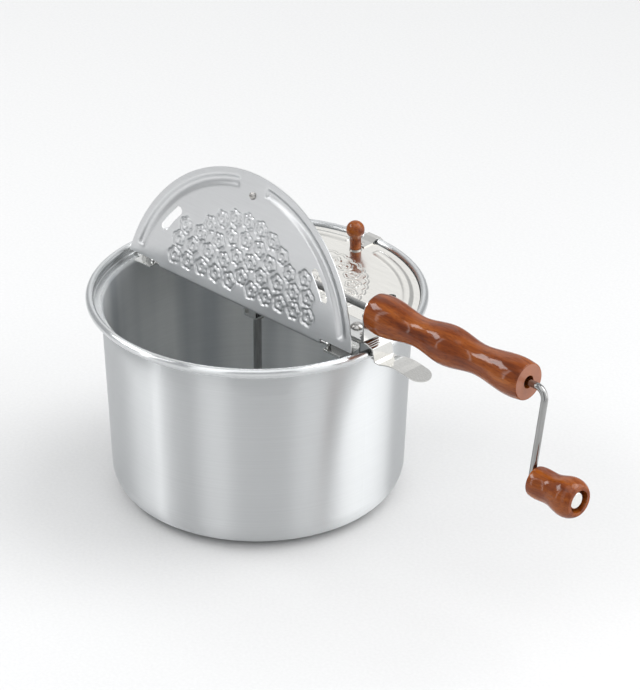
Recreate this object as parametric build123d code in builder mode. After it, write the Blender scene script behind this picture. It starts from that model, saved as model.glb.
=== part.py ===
from build123d import *
import os
from math import cos, pi, radians, sin, sqrt, tan

os.makedirs("parts", exist_ok=True)

# Frame: origin at the centre of the pot's base, +Z up, the handle points along +X,
# the front lid lies toward -Y and the rear lid toward +Y. Millimetres throughout.

# ---------------------------------------------------------------- clearances
RUNNING = 0.06             # radial, a shaft in its bearing
SEATED = 0.02              # radial, a pin or rivet in its hole
STOP_GAP = 0.08            # open lid to the corners it leans on
LAID = 0.1                 # a lid or clip lying on its rest

# ---------------------------------------------------------------- pot
SHOULDER_RADIUS = 112.9    # outer wall line carried up to the ledge
WALL_TAPER = 6.2           # the wall line is this much further in at the floor
CORNER_RADIUS = 20.5
POT_WALL = 1.4
LEDGE_TOP = 148.2          # the ledge that the lid assembly sits on
LEDGE_WIDTH = 6.0
RIM_WALL = 1.2
BEAD_RADIUS = 2.92         # rolled edge
BEAD_HOLLOW = 1.75
BEAD_RISE = 4.9            # middle of the rolled edge above the ledge
BEAD_OVERHANG = 0.94       # how far the bead stands inside the short wall

FOOT_RADIUS = SHOULDER_RADIUS - WALL_TAPER
STEP_RADIUS = SHOULDER_RADIUS + LEDGE_WIDTH     # inner face of the short wall above the ledge
BEAD_CENTRE = STEP_RADIUS - BEAD_OVERHANG + BEAD_RADIUS
BEAD_HEIGHT = LEDGE_TOP + BEAD_RISE

# ---------------------------------------------------------------- bridge
SHEET = 1.0                # bridge sheet
HAT_HALF = 12.5            # half width of the raised channel
HAT_RISE = 13.8            # height of the channel above the ledge
HAT_BEND = 1.6
HAT_TOP = LEDGE_TOP + HAT_RISE
HAT_FAR = STEP_RADIUS - 8.9            # channel end away from the handle
HAT_NEAR = STEP_RADIUS - 3.1           # channel end at the handle
FLANGE_HALF = 14.5
SEAT_RADIUS = STEP_RADIUS - 1.5        # the flanges end here, on the ledge
TONGUE_HALF = 9.0                      # tongue that tucks under the bead at the far end
TONGUE_RADIUS = STEP_RADIUS - 0.2
REST_TOP = LEDGE_TOP + 3.1             # rest tabs under the closed lids
REST_REACH = 24.3

# ---------------------------------------------------------------- lids and hinges
LID_SHEET = 0.8
LID_RADIUS = STEP_RADIUS - 2.5
LID_SHIFT = 1.35           # the lid set sits this far toward the handle in the rim
CLOSED_TILT = 1.0          # closed lids rise this many degrees toward the rim
LID_UNDER = REST_TOP + LAID            # underside of a closed lid
HINGE_Y = 19.2             # hinge line, each side of the middle
ROLL_RADIUS = 2.2          # outer radius of the rolled hinge edge
ROLL_GAP = 6.85            # from a lug's inner face to the end of the rolled edge
EDGE_SETBACK = 1.8         # plain part of the hinge edge, clear of the lugs
OPEN_ANGLE = 101.2
WIRE_RADIUS = 1.3
WIRE_END = 2.6             # the wire stands past its outer lugs' inner faces by this much
LUG_THICKNESS = 1.5
LUG_RADIUS = 2.1
REST_INNER = LID_RADIUS - 26.4         # the lugs stand on the rest tabs' inner ends
REST_OUTER = LID_RADIUS - 9.4
ROLL_HALF = REST_INNER - ROLL_GAP
WIRE_HALF = REST_INNER + WIRE_END
# raised ridge near the lid's edge: distance in from the edge, height
RIDGE = [(14.0, 0.0), (9.4, 1.4), (8.2, 1.4), (4.2, 0.0)]
RIDGE_START = 15.5         # degrees from the hinge line
RIDGE_END = 82.5
VENT_RADIUS = LID_RADIUS - 20.5
VENT_WIDTH = 6.6
VENT_START = 31.4
VENT_SWEEP = 11.7
LID_KNOB_RADIUS = LID_RADIUS - 16.1    # from the lid's centre to the knob
LID_KNOB_OFFSET = 0.75
HINGE_Z = LID_UNDER + ROLL_RADIUS
LID_TOP = LID_UNDER + LID_SHEET
LID_DROP = ROLL_RADIUS - LID_SHEET
FRONT_HINGE = Axis((0, -HINGE_Y, HINGE_Z), (1, 0, 0))
REAR_HINGE = Axis((0, HINGE_Y, HINGE_Z), (1, 0, 0))

# ---------------------------------------------------------------- lid knobs
BALL_RADIUS = 6.85
NECK_RADIUS = 4.1
NECK_BLEND = 2.2
KNOB_HEIGHT = 22.0
KNOB_WASHER = 0.9
KNOB_WASHER_RADIUS = 4.6
KNOB_SCREW_RADIUS = 1.6
KNOB_SCREW_HEAD = 2.8
KNOB_SCREW_DEPTH = 13.0

# ---------------------------------------------------------------- clip over the rear rim
RIM_CLIP_X = -1.6
RIM_CLIP_HALF = 5.8
RIM_CLIP_SHEET = 0.8
RIM_CLIP_START = LID_RADIUS - 10.8
RIM_CLIP_BEND = LID_RADIUS - 2.0
RIM_CLIP_RIVET_Y = LID_RADIUS - 7.4
RIM_CLIP_RIVET = 1.1       # shank radius

# ---------------------------------------------------------------- handle and its bracket
HANDLE_RADII = [(0.0, 13.7), (9.5, 14.85), (43.5, 11.05), (69.0, 14.6),
                (97.0, 11.05), (131.0, 14.45), (143.3, 13.3)]
HANDLE_BORE = 4.7
HANDLE_SCREW_Y = 8.6
HANDLE_SCREW = 1.6         # shank radius
HANDLE_SCREW_LENGTH = 20.0
UPRIGHT_SHEET = 1.2
UPRIGHT_HALF = 12.5
UPRIGHT_X = STEP_RADIUS    # inner face of the upright that the handle butts on
BRACKET_FOOT = 22.4        # the bracket's foot reaches this far in from the upright
HEAD_RIVET_X = UPRIGHT_X - 17.4
HEAD_RIVET = 2.0           # shank radius
PIN_X = UPRIGHT_X - 7.4
PIN_Y = 5.0
PIN_RADIUS = 1.2
FOOT_START = UPRIGHT_X - BRACKET_FOOT
HANDLE_START = UPRIGHT_X + UPRIGHT_SHEET
HANDLE_LENGTH = HANDLE_RADII[-1][0]
HAT_LIP = UPRIGHT_X - 0.1  # the channel's top runs on over the bead to the upright

# ---------------------------------------------------------------- spring clip
CLIP_SHEET = 0.8
CLIP_SHOULDER_HALF = 9.4
CLIP_BEND = 0.75
CLIP_RIB = 0.45            # radius of the cross ribs
CLIP_SPLIT = 0.3           # from the fixed leaf to the sprung tongue
PLATE_TOP = HAT_TOP + CLIP_SHEET + UPRIGHT_SHEET
# middle of the tongue's sheet: distance out from the bead's middle, height over the ledge
TONGUE_LINE = [(4.52, 10.1), (6.62, 0.5), (10.62, 0.2), (18.12, 2.2), (23.12, 2.9),
               (29.12, 2.8), (34.32, 2.1), (49.92, -0.7)]
THUMB_START = 40.12        # the round end of the tongue, out from the bead's middle
THUMB_END = 49.62

# ---------------------------------------------------------------- crank
ROD_RADIUS = 2.5
ROD_RISE = 20.5            # the rod's axis above the channel
ROD_HEIGHT = HAT_TOP + ROD_RISE
ROD_TIP = 6.6
ARM_GAP = 15.9             # from the handle's end to the arm's axis
ARM_ANGLE = 10.5           # the arm hangs this far from straight down, toward the front
ARM_LENGTH = 65.1
ARM_BEND = 8.0
SPINDLE_BEND = 3.2
ARM_X = HANDLE_START + HANDLE_LENGTH + ARM_GAP
SPINDLE_Y = -ARM_LENGTH * sin(radians(ARM_ANGLE))
SPINDLE_Z = ROD_HEIGHT - ARM_LENGTH * cos(radians(ARM_ANGLE))
BUSH_RADIUS = 3.6
BUSH_FLANGE = 4.6
BUSH_FLANGE_THICKNESS = 0.8
BUSH_BARREL = 2.6
COLLAR_RADIUS = 5.0
COLLAR_LENGTH = 4.5

# ---------------------------------------------------------------- crank knob
CRANK_KNOB_GAP = 3.8       # from the arm's axis to the knob
CRANK_KNOB_START = ARM_X + CRANK_KNOB_GAP
CRANK_KNOB_RADII = [(0.0, 10.7), (3.5, 11.3), (17.0, 11.3), (29.0, 14.2), (36.5, 13.0), (39.4, 10.8)]
RECESS_RADIUS = 8.2
RECESS_DEPTH = 6.0
CAP_NUT_RADIUS = 6.5
CAP_NUT_HEIGHT = 3.4
KNOB_DISC = 0.6            # washer under the cap nut
KNOB_DISC_RADIUS = 5.6
RECESS_FLOOR = CRANK_KNOB_START + CRANK_KNOB_RADII[-1][0] - RECESS_DEPTH
NUT_START = RECESS_FLOOR + KNOB_DISC + LAID

# ---------------------------------------------------------------- gears and their bracket
TEETH = 14
MODULE = 1.5
FACE_WIDTH = 4.5
ADDENDUM = 1.3
DEDENDUM = 1.65
BACKLASH = 0.5
HUB_RADIUS = 5.5
GEAR_RIM = 1.6
GEAR_END_PLAY = 0.2
PITCH_RADIUS = MODULE * TEETH / 2
GEAR_BRACKET_SHEET = 1.2
GEAR_BRACKET_HALF = 11.5
GEAR_BRACKET_BACK = -13.0
GEAR_WALL_X = PITCH_RADIUS + 11.0
STOP_HEIGHT = HAT_TOP + 30.2           # the raised front lid leans on the wall's corners here
GEAR_WALL_TOP = STOP_HEIGHT + 3.3
GUSSET = 4.5
BRACKET_TOP = HAT_TOP + GEAR_BRACKET_SHEET
LEAN = radians(OPEN_ANGLE - 90)
# half width at which the gear wall's corners just meet the raised lid
STOP_HALF = (HINGE_Y + LID_DROP * cos(LEAN)
             - (STOP_HEIGHT - HINGE_Z - LID_DROP * sin(LEAN)) * tan(LEAN) - STOP_GAP)

# ---------------------------------------------------------------- stirring shaft and its strap
SHAFT_RADIUS = 3.0
SHAFT_TOP = ROD_HEIGHT - 6.5
SHAFT_FOOT = POT_WALL + 0.8            # the shaft ends just over the pot's floor
STRAP_SHEET = 1.2
STRAP_HALF_X = 5.5
STRAP_HALF_Y = 8.0
STRAP_BOTTOM = HAT_TOP - 26.3
STRAP_FOOT_REACH = 10.8
FOOT_RIVET = 1.0           # shank radius
FOOT_RIVET_HEAD = 1.25
FOOT_RIVET_Y = 9.6
WALL_RIVET_X = GEAR_WALL_X - 4.0
GEAR_WASHER = 0.8
GEAR_WASHER_RADIUS = 6.2
RING_RADIUS = 5.0
RING_THICKNESS = 1.2
RING_PLAY = 0.2            # under the strap
EYELET_X = -2.8
EYELET_Z = STRAP_BOTTOM + 4.6
EYELET_RADIUS = 1.1

# ---------------------------------------------------------------- stirrer
STIRRER_WIRE = 1.7
STIRRER_Z = POT_WALL + 3.3
STIRRER_REACH = FOOT_RADIUS - 26.7
STIRRER_STRAIGHT = FOOT_RADIUS - 60.7
STIRRER_SWEPT = 27.0
STIRRER_BEND = 14.0
STIRRER_HUB_RADIUS = 7.0
STIRRER_HUB_TOP = SHAFT_FOOT + 10.8


def turned_profile(radii, smooth):
    """Closed half section of a turned piece, in a plane whose x runs along the axis."""
    outline = [(s, r) for s, r in radii]
    with BuildLine() as edge:
        if smooth:
            Spline(outline)
        else:
            Polyline(outline)
        Polyline(outline[-1], (outline[-1][0], 0), (outline[0][0], 0), outline[0])
    return make_face(edge.line.edges(), mode=Mode.PRIVATE)


def rivet(x, y, low, high, shank, head, head_height):
    """Round rivet along Z through plates that lie between low and high."""
    with Locations((x, y, (low + high) / 2)):
        Cylinder(shank, high - low)
    with Locations((x, y, high + head_height / 2)):
        Cylinder(head, head_height)
    with Locations((x, y, low - head_height / 2)):
        Cylinder(head, head_height)


# ---------------------------------------------------------------- pot
with BuildPart() as pot:
    with BuildSketch(Plane.XZ):
        with BuildLine():
            outside = FilletPolyline(
                (0, 0), (FOOT_RADIUS, 0), (SHOULDER_RADIUS, LEDGE_TOP - RIM_WALL),
                (STEP_RADIUS + RIM_WALL, LEDGE_TOP - RIM_WALL),
                (STEP_RADIUS + RIM_WALL, BEAD_HEIGHT - BEAD_HOLLOW),
                radius=[CORNER_RADIUS, 1.8, 2.4])
            inside = FilletPolyline(
                (0, POT_WALL), (FOOT_RADIUS - POT_WALL, POT_WALL),
                (SHOULDER_RADIUS - POT_WALL, LEDGE_TOP), (STEP_RADIUS, LEDGE_TOP),
                (STEP_RADIUS, BEAD_HEIGHT - BEAD_HOLLOW),
                radius=[CORNER_RADIUS - POT_WALL, 3.0, 1.2])
            Line(outside @ 0, inside @ 0)
            Line(outside @ 1, inside @ 1)
        make_face()
        with Locations((BEAD_CENTRE, BEAD_HEIGHT)):
            Circle(BEAD_RADIUS)
            Circle(BEAD_HOLLOW, mode=Mode.SUBTRACT)
        # the rolled edge stops just short of the wall, so the roll is open below
        with Locations((STEP_RADIUS + RIM_WALL + 0.25, BEAD_HEIGHT - BEAD_RADIUS + 0.5)):
            Rectangle(0.5, 2.2, mode=Mode.SUBTRACT)
    revolve(axis=Axis.Z)
pot.part.label = "pot"
export_step(pot.part, "parts/pot.step")

# ---------------------------------------------------------------- bridge across the rim
with BuildPart() as bridge:
    # raised channel with out-turned flanges
    with BuildSketch(Plane.YZ.offset(-HAT_FAR)):
        with BuildLine():
            FilletPolyline((-HAT_HALF, LEDGE_TOP), (-HAT_HALF, HAT_TOP), (HAT_HALF, HAT_TOP),
                           (HAT_HALF, LEDGE_TOP), radius=HAT_BEND)
            Line((HAT_HALF, LEDGE_TOP), (-HAT_HALF, LEDGE_TOP))
        make_face()
        with BuildLine():
            FilletPolyline((-HAT_HALF + SHEET, LEDGE_TOP), (-HAT_HALF + SHEET, HAT_TOP - SHEET),
                           (HAT_HALF - SHEET, HAT_TOP - SHEET), (HAT_HALF - SHEET, LEDGE_TOP),
                           radius=HAT_BEND - SHEET)
            Line((HAT_HALF - SHEET, LEDGE_TOP), (-HAT_HALF + SHEET, LEDGE_TOP))
        make_face(mode=Mode.SUBTRACT)
    extrude(amount=HAT_FAR + HAT_NEAR)
    # closed end away from the handle
    with BuildSketch(Plane.YZ.offset(-HAT_FAR)):
        with Locations((0, (LEDGE_TOP + HAT_TOP - HAT_BEND) / 2)):
            Rectangle(2 * HAT_HALF, HAT_TOP - HAT_BEND - LEDGE_TOP)
        with Locations((0, HAT_TOP - HAT_BEND)):
            Rectangle(2 * (HAT_HALF - HAT_BEND), 2 * HAT_BEND - 0.2)
    extrude(amount=SHEET)
    # the top runs on over the bead at the handle
    with BuildSketch(Plane.XY.offset(HAT_TOP - SHEET)):
        with Locations(((HAT_NEAR + HAT_LIP) / 2 - SHEET, 0)):
            Rectangle(HAT_LIP - HAT_NEAR + 2 * SHEET, 2 * (HAT_HALF - HAT_BEND))
    extrude(amount=SHEET)
    # flanges, cut round where they sit on the ledge
    with BuildSketch(Plane.XY.offset(LEDGE_TOP)):
        for side in (-1, 1):
            with Locations((0, side * (FLANGE_HALF + HAT_HALF - SHEET) / 2)):
                Rectangle(2 * SEAT_RADIUS, FLANGE_HALF - HAT_HALF + SHEET)
        with Locations((-(HAT_FAR + SEAT_RADIUS) / 2, 0)):
            Rectangle(SEAT_RADIUS - HAT_FAR, 2 * FLANGE_HALF)
        Circle(SEAT_RADIUS, mode=Mode.INTERSECT)
    extrude(amount=SHEET)
    # joggled tongue that tucks under the bead
    with BuildSketch(Plane.XY.offset(LEDGE_TOP + SHEET)):
        Circle(TONGUE_RADIUS)
        with Locations((-(HAT_FAR + TONGUE_RADIUS) / 2 - 1.5, 0)):
            Rectangle(TONGUE_RADIUS - HAT_FAR - 1.0, 2 * TONGUE_HALF, mode=Mode.INTERSECT)
    extrude(amount=SHEET)
    rest_mid = (REST_INNER + REST_OUTER) / 2
    for end in (-1, 1):
        for side in (-1, 1):
            # rest tab, raised on a short riser
            with BuildSketch(Plane.XY.offset(REST_TOP - SHEET)):
                with Locations((LID_SHIFT + end * rest_mid, side * (REST_REACH + FLANGE_HALF - SHEET) / 2)):
                    RectangleRounded(REST_OUTER - REST_INNER, REST_REACH - FLANGE_HALF + SHEET, 0.45)
            extrude(amount=SHEET)
            with BuildSketch(Plane.XY.offset(LEDGE_TOP)):
                with Locations((LID_SHIFT + end * rest_mid, side * (FLANGE_HALF - SHEET / 2))):
                    Rectangle(REST_OUTER - REST_INNER, SHEET)
            extrude(amount=REST_TOP - LEDGE_TOP)
            # lug for the hinge wire, turned up from the tab
            lug_face = REST_INNER if end > 0 else -REST_INNER - LUG_THICKNESS
            with BuildSketch(Plane.YZ.offset(LID_SHIFT + lug_face)):
                with Locations((side * HINGE_Y, HINGE_Z)):
                    Circle(LUG_RADIUS)
                with Locations((side * HINGE_Y, (HINGE_Z + REST_TOP - SHEET) / 2)):
                    Rectangle(3.0, HINGE_Z - REST_TOP + SHEET)
                with Locations((side * HINGE_Y, HINGE_Z)):
                    Circle(WIRE_RADIUS + SEATED, mode=Mode.SUBTRACT)
            extrude(amount=LUG_THICKNESS)
    # holes in the channel's top
    with BuildSketch(Plane.XY.offset(HAT_TOP)):
        Circle(SHAFT_RADIUS + 0.4)
        with Locations(*[(x, side * FOOT_RIVET_Y) for x in (0, WALL_RIVET_X) for side in (-1, 1)]):
            Circle(FOOT_RIVET + SEATED)
        with Locations((HEAD_RIVET_X, 0)):
            Circle(HEAD_RIVET + SEATED)
        with Locations((PIN_X, PIN_Y), (PIN_X, -PIN_Y)):
            Circle(PIN_RADIUS + SEATED)
    extrude(amount=-SHEET, mode=Mode.SUBTRACT)
bridge.part.label = "bridge"
export_step(bridge.part, "parts/bridge.step")

# ---------------------------------------------------------------- hinge wires
for side, wire_name in ((-1, "front_hinge_wire"), (1, "rear_hinge_wire")):
    with BuildPart(Plane.YZ) as hinge_wire:
        with Locations((side * HINGE_Y, HINGE_Z, LID_SHIFT)):
            Cylinder(WIRE_RADIUS, 2 * WIRE_HALF)
        chamfer(hinge_wire.edges(), 0.3)
    hinge_wire.part.label = wire_name
    export_step(hinge_wire.part, f"parts/{wire_name}.step")

# ---------------------------------------------------------------- gear bracket
with BuildPart() as gear_bracket:
    with BuildSketch(Plane.XY.offset(HAT_TOP)):
        with Locations(((GEAR_BRACKET_BACK + GEAR_WALL_X + GEAR_BRACKET_SHEET) / 2, 0)):
            Rectangle(GEAR_WALL_X + GEAR_BRACKET_SHEET - GEAR_BRACKET_BACK, 2 * GEAR_BRACKET_HALF)
        Circle(SHAFT_RADIUS + RUNNING, mode=Mode.SUBTRACT)
        with Locations(*[(x, side * FOOT_RIVET_Y) for x in (0, WALL_RIVET_X) for side in (-1, 1)]):
            Circle(FOOT_RIVET + SEATED, mode=Mode.SUBTRACT)
    extrude(amount=GEAR_BRACKET_SHEET)
    with BuildSketch(Plane.YZ.offset(GEAR_WALL_X)):
        with BuildLine():
            Polyline((-GEAR_BRACKET_HALF, HAT_TOP), (-GEAR_BRACKET_HALF, ROD_HEIGHT - 8),
                     (-STOP_HALF, STOP_HEIGHT - 3), (-STOP_HALF, STOP_HEIGHT),
                     (-STOP_HALF + 3.5, GEAR_WALL_TOP), (STOP_HALF - 3.5, GEAR_WALL_TOP),
                     (STOP_HALF, STOP_HEIGHT), (STOP_HALF, STOP_HEIGHT - 3),
                     (GEAR_BRACKET_HALF, ROD_HEIGHT - 8), (GEAR_BRACKET_HALF, HAT_TOP),
                     close=True)
        make_face()
        with Locations((0, ROD_HEIGHT)):
            Circle(BUSH_RADIUS + SEATED, mode=Mode.SUBTRACT)
    extrude(amount=GEAR_BRACKET_SHEET)
    # pressed gussets in the bend
    for side in (-1, 1):
        with BuildSketch(Plane.XZ.offset(side * 6.5 - 0.6)):
            Polygon((GEAR_WALL_X - GUSSET, BRACKET_TOP), (GEAR_WALL_X, BRACKET_TOP),
                    (GEAR_WALL_X, BRACKET_TOP + GUSSET), align=None)
        extrude(amount=1.2)
gear_bracket.part.label = "gear_bracket"
export_step(gear_bracket.part, "parts/gear_bracket.step")

# ---------------------------------------------------------------- strap under the bridge
with BuildPart() as shaft_strap:
    strap_mid = STRAP_HALF_Y - STRAP_SHEET / 2
    strap_foot_z = HAT_TOP - SHEET - STRAP_SHEET / 2
    with BuildSketch(Plane.YZ.offset(-STRAP_HALF_X)):
        with BuildLine():
            FilletPolyline((-STRAP_FOOT_REACH, strap_foot_z), (-strap_mid, strap_foot_z),
                           (-strap_mid, STRAP_BOTTOM + STRAP_SHEET / 2),
                           (strap_mid, STRAP_BOTTOM + STRAP_SHEET / 2),
                           (strap_mid, strap_foot_z), (STRAP_FOOT_REACH, strap_foot_z), radius=1.0)
        trace(line_width=STRAP_SHEET)
    extrude(amount=2 * STRAP_HALF_X)
    with Locations((0, 0, STRAP_BOTTOM)):
        Cylinder(SHAFT_RADIUS + RUNNING, 4 * STRAP_SHEET, mode=Mode.SUBTRACT)
    with Locations(*[(0, side * FOOT_RIVET_Y, strap_foot_z) for side in (-1, 1)]):
        Cylinder(FOOT_RIVET + SEATED, 2 * STRAP_SHEET, mode=Mode.SUBTRACT)
    with BuildSketch(Plane.XZ.offset(STRAP_HALF_Y)):
        with Locations((EYELET_X, EYELET_Z)):
            Circle(EYELET_RADIUS + SEATED)
    extrude(amount=-STRAP_SHEET, mode=Mode.SUBTRACT)
shaft_strap.part.label = "shaft_strap"
export_step(shaft_strap.part, "parts/shaft_strap.step")

with BuildPart() as strap_eyelet:
    with BuildSketch(Plane.XZ.offset(STRAP_HALF_Y)):
        with Locations((EYELET_X, EYELET_Z)):
            Circle(1.7)
    extrude(amount=0.4)
    with BuildSketch(Plane.XZ.offset(STRAP_HALF_Y)):
        with Locations((EYELET_X, EYELET_Z)):
            Circle(EYELET_RADIUS)
    extrude(amount=-STRAP_SHEET - 0.3)
    with BuildSketch(Plane.XZ.offset(STRAP_HALF_Y + 0.4)):
        with Locations((EYELET_X, EYELET_Z)):
            Circle(0.6)
    extrude(amount=-2 * STRAP_SHEET, mode=Mode.SUBTRACT)
strap_eyelet.part.label = "strap_eyelet"
export_step(strap_eyelet.part, "parts/strap_eyelet.step")

with BuildPart() as gear_bracket_rivets:
    for side in (-1, 1):
        rivet(0, side * FOOT_RIVET_Y, HAT_TOP - SHEET - STRAP_SHEET, BRACKET_TOP,
              FOOT_RIVET, FOOT_RIVET_HEAD, 0.7)
        rivet(WALL_RIVET_X, side * FOOT_RIVET_Y, HAT_TOP - SHEET, BRACKET_TOP,
              FOOT_RIVET, FOOT_RIVET_HEAD, 0.7)
gear_bracket_rivets.part.label = "gear_bracket_rivets"
export_step(gear_bracket_rivets.part, "parts/gear_bracket_rivets.step")

# ---------------------------------------------------------------- spring clip: fixed leaf
with BuildPart() as clip_root:
    with BuildSketch(Plane.XY.offset(HAT_TOP)):
        with Locations(((FOOT_START + HANDLE_START) / 2, 0)):
            Rectangle(HANDLE_START - FOOT_START, 2 * UPRIGHT_HALF)
        with Locations((HEAD_RIVET_X, 0)):
            Circle(HEAD_RIVET + SEATED, mode=Mode.SUBTRACT)
        with Locations((PIN_X, PIN_Y), (PIN_X, -PIN_Y)):
            Circle(PIN_RADIUS + SEATED, mode=Mode.SUBTRACT)
    extrude(amount=CLIP_SHEET)
clip_root.part.label = "clip_root"
export_step(clip_root.part, "parts/clip_root.step")

# ---------------------------------------------------------------- handle bracket
with BuildPart() as handle_bracket:
    with BuildSketch(Plane.XY.offset(HAT_TOP + CLIP_SHEET)):
        with Locations(((FOOT_START + HANDLE_START) / 2, 0)):
            Rectangle(HANDLE_START - FOOT_START, 2 * UPRIGHT_HALF)
        with Locations((HEAD_RIVET_X, 0)):
            Circle(HEAD_RIVET + SEATED, mode=Mode.SUBTRACT)
        with Locations((PIN_X, PIN_Y), (PIN_X, -PIN_Y)):
            Circle(PIN_RADIUS + SEATED, mode=Mode.SUBTRACT)
    extrude(amount=UPRIGHT_SHEET)
    with BuildSketch(Plane.YZ.offset(UPRIGHT_X)):
        with Locations((0, (HAT_TOP + CLIP_SHEET + ROD_HEIGHT) / 2)):
            Rectangle(2 * UPRIGHT_HALF, ROD_HEIGHT - HAT_TOP - CLIP_SHEET)
        with Locations((0, ROD_HEIGHT)):
            Circle(UPRIGHT_HALF)
            Circle(BUSH_RADIUS + SEATED, mode=Mode.SUBTRACT)
        with Locations((HANDLE_SCREW_Y, ROD_HEIGHT), (-HANDLE_SCREW_Y, ROD_HEIGHT)):
            Circle(HANDLE_SCREW + SEATED, mode=Mode.SUBTRACT)
    extrude(amount=UPRIGHT_SHEET)
    # pressed ribs that stiffen the bend
    for side in (-1, 1):
        with BuildSketch(Plane.XZ.offset(side * 9.5 - 0.8)):
            Polygon((UPRIGHT_X - 5, PLATE_TOP), (UPRIGHT_X, PLATE_TOP),
                    (UPRIGHT_X, PLATE_TOP + 5), align=None)
        extrude(amount=1.6)
handle_bracket.part.label = "handle_bracket"
export_step(handle_bracket.part, "parts/handle_bracket.step")

with BuildPart() as handle_bracket_rivet:
    with Locations((HEAD_RIVET_X, 0, (PLATE_TOP + HAT_TOP - SHEET) / 2)):
        Cylinder(HEAD_RIVET, PLATE_TOP - HAT_TOP + SHEET)
    with Locations((HEAD_RIVET_X, 0, HAT_TOP - SHEET - 0.6)):
        Cylinder(3.4, 1.2)
    with BuildSketch(Plane.XZ):
        with BuildLine():
            dome = RadiusArc((HEAD_RIVET_X + 5.0, PLATE_TOP + 0.5), (HEAD_RIVET_X, PLATE_TOP + 3.0), -6.25)
            Polyline(dome @ 1, (HEAD_RIVET_X, PLATE_TOP), (HEAD_RIVET_X + 5.0, PLATE_TOP), dome @ 0)
        make_face()
    revolve(axis=Axis((HEAD_RIVET_X, 0, 0), (0, 0, 1)))
handle_bracket_rivet.part.label = "handle_bracket_rivet"
export_step(handle_bracket_rivet.part, "parts/handle_bracket_rivet.step")

with BuildPart() as handle_bracket_pins:
    for side in (-1, 1):
        rivet(PIN_X, side * PIN_Y, HAT_TOP - SHEET, PLATE_TOP, PIN_RADIUS, 1.9, 0.5)
        with Locations((PIN_X, side * PIN_Y, PLATE_TOP)):
            Cylinder(0.7, 4.0, mode=Mode.SUBTRACT)
handle_bracket_pins.part.label = "handle_bracket_pins"
export_step(handle_bracket_pins.part, "parts/handle_bracket_pins.step")

# ---------------------------------------------------------------- rod bushes
with BuildPart() as rod_bushes:
    for seat in (GEAR_WALL_X, UPRIGHT_X):
        with BuildSketch(Plane.YZ.offset(seat)):
            with Locations((0, ROD_HEIGHT)):
                Circle(BUSH_FLANGE)
        extrude(amount=-BUSH_FLANGE_THICKNESS)
        with BuildSketch(Plane.YZ.offset(seat)):
            with Locations((0, ROD_HEIGHT)):
                Circle(BUSH_RADIUS)
        extrude(amount=BUSH_BARREL)
    with BuildSketch(Plane.YZ):
        with Locations((0, ROD_HEIGHT)):
            Circle(ROD_RADIUS + RUNNING)
    extrude(amount=HANDLE_START + 10, mode=Mode.SUBTRACT)
rod_bushes.part.label = "rod_bushes"
export_step(rod_bushes.part, "parts/rod_bushes.step")

# ---------------------------------------------------------------- handle
handle_plane = Plane(origin=(HANDLE_START, 0, ROD_HEIGHT), x_dir=(1, 0, 0), z_dir=(0, -1, 0))
with BuildPart() as handle:
    with BuildSketch(handle_plane):
        add(turned_profile(HANDLE_RADII, True))
    revolve(axis=Axis((HANDLE_START, 0, ROD_HEIGHT), (1, 0, 0)))
    fillet(handle.edges().filter_by(GeomType.CIRCLE), 0.9)
    with BuildSketch(Plane.YZ.offset(HANDLE_START)):
        with Locations((0, ROD_HEIGHT)):
            Circle(HANDLE_BORE)
    extrude(amount=HANDLE_LENGTH, mode=Mode.SUBTRACT)
    with BuildSketch(Plane.YZ.offset(HANDLE_START)):
        with Locations((HANDLE_SCREW_Y, ROD_HEIGHT), (-HANDLE_SCREW_Y, ROD_HEIGHT)):
            Circle(HANDLE_SCREW + SEATED)
    extrude(amount=HANDLE_SCREW_LENGTH, mode=Mode.SUBTRACT)
handle.part.label = "handle"
export_step(handle.part, "parts/handle.step")

with BuildPart() as handle_screws:
    for side in (-1, 1):
        with BuildSketch(Plane.YZ.offset(UPRIGHT_X)):
            with Locations((side * HANDLE_SCREW_Y, ROD_HEIGHT)):
                Circle(1.75 * HANDLE_SCREW)
        extrude(amount=-1.7)
        with BuildSketch(Plane.YZ.offset(UPRIGHT_X)):
            with Locations((side * HANDLE_SCREW_Y, ROD_HEIGHT)):
                Circle(HANDLE_SCREW)
        extrude(amount=HANDLE_SCREW_LENGTH)
        with BuildSketch(Plane.YZ.offset(UPRIGHT_X - 1.7)):
            with Locations((side * HANDLE_SCREW_Y, ROD_HEIGHT)):
                Rectangle(0.8, 6.0)
        extrude(amount=0.8, mode=Mode.SUBTRACT)
handle_screws.part.label = "handle_screws"
export_step(handle_screws.part, "parts/handle_screws.step")


def in_lid(y, z):
    """A point of the pot as seen from the rear lid laid flat."""
    away = Vector(0, y - HINGE_Y, z - HINGE_Z).rotate(Axis.X, -CLOSED_TILT)
    return (HINGE_Y + away.Y, HINGE_Z + away.Z)


# ---------------------------------------------------------------- lids
def knob_place(side, height=0.0):
    """Where a lid's knob stands, at the given height."""
    return (LID_SHIFT - side * LID_KNOB_OFFSET, side * LID_KNOB_RADIUS, height)


def ridge_plane(side, start):
    """Upright plane through the lid's centre, turned to where a ridge starts."""
    turn = radians(side * start)
    return Plane(origin=(LID_SHIFT, 0, 0), x_dir=(cos(turn), sin(turn), 0), z_dir=(sin(turn), -cos(turn), 0))


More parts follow.
